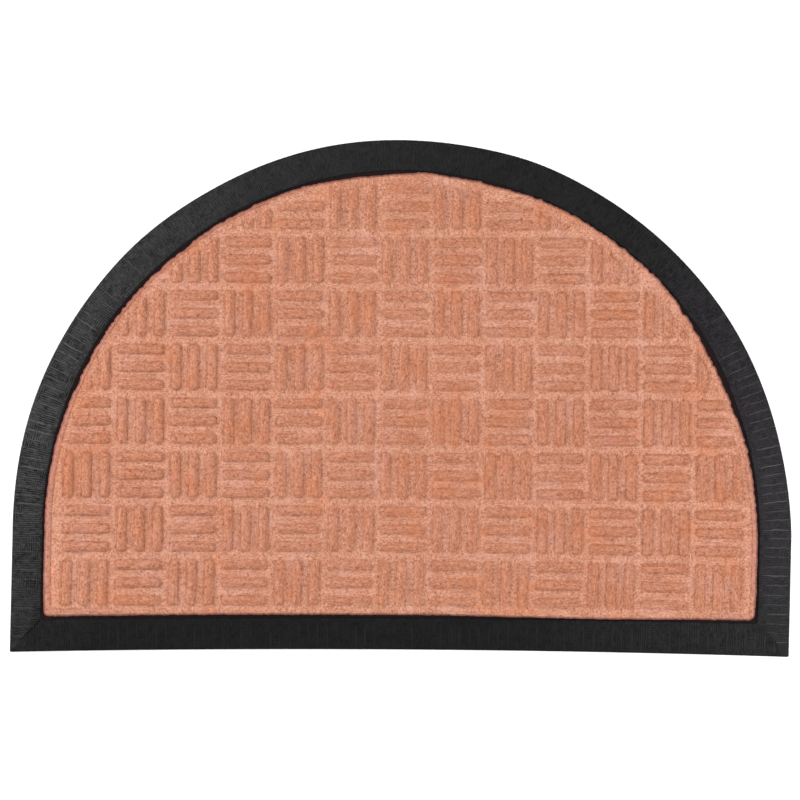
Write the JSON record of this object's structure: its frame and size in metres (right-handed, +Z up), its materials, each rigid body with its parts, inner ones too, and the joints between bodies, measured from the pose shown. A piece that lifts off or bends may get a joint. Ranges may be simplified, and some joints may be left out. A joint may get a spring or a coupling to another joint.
{
  "type": "doormat",
  "caption": "Half-round doormat: terracotta needle-punched carpet with raised basket-weave bars, set in a black moulded rubber backing with a ramped border.",
  "frame": {"origin": "on the floor, under the middle of the mat's outline", "axes": "+X along the straight edge, +Y from the straight edge towards the arch, +Z up from the floor"},
  "size_m": [0.6, 0.3968, 0.0064],
  "materials": {
    "rubber": "matt moulded rubber, finely ribbed on the border",
    "carpet": "matt needle-punched pile, terracotta"
  },
  "bodies": {
    "root": {"rubber_backing": "rubber", "carpet_panel": "carpet"}
  },
  "joints": []
}
